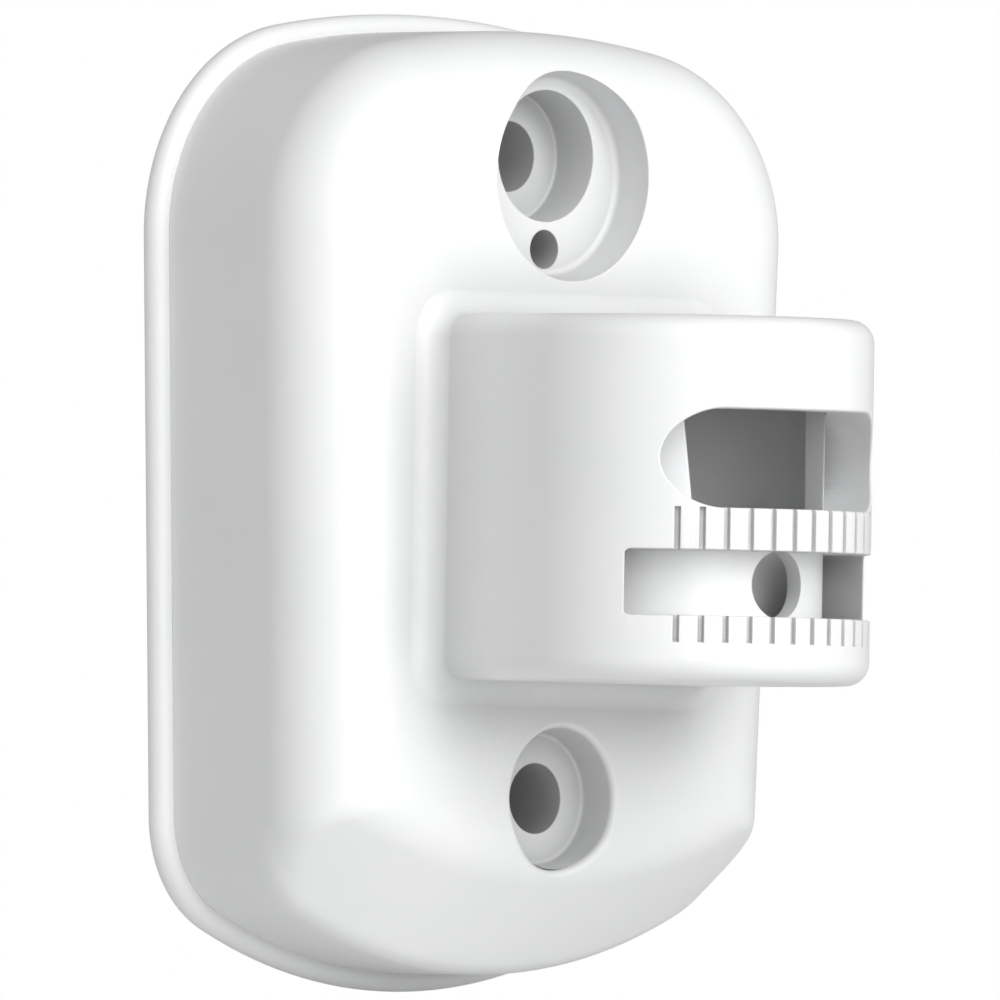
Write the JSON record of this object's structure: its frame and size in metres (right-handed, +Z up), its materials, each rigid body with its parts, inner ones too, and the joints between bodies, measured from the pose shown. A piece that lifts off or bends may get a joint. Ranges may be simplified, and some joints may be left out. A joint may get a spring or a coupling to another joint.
{
  "type": "baby monitor camera wall bracket",
  "caption": "Domed wall bracket for a small camera, with a swivelling hollow drum in a round-fronted boss, a cable slot, a lock-screw slot and serrated position marks.",
  "frame": {"origin": "middle of the wall plate's back face, which is the plane Y = 0, on the axis of the cable bore", "axes": "+X to the right seen from the front, +Y into the wall, +Z up; the swivel axis is parallel to Z"},
  "size_m": [0.0456, 0.0381, 0.0624],
  "materials": {
    "white_plastic": "satin moulded ABS, white",
    "drum_plastic": "fine matt moulded acetal, white",
    "washer_plastic": "smooth natural acetal",
    "screw_steel": "zinc-plated steel",
    "grommet_rubber": "matt grey rubber"
  },
  "bodies": {
    "bracket": {"wall_plate": "white_plastic", "housing": "white_plastic", "drum_keeper": "drum_plastic", "keeper_screws": "screw_steel", "upper_thrust_washer": "washer_plastic", "lower_thrust_washer": "washer_plastic", "plate_screws": "screw_steel", "cable_grommet": "grommet_rubber"},
    "swivel": {"swivel_drum": "drum_plastic", "lock_nut": "screw_steel"}
  },
  "joints": [
    {"name": "pan", "type": "hinge", "parent": "bracket", "child": "swivel", "pos_m": [0, -0.02595, 0], "axis": [0, 0, 1], "range_deg": [-45, 45]}
  ]
}
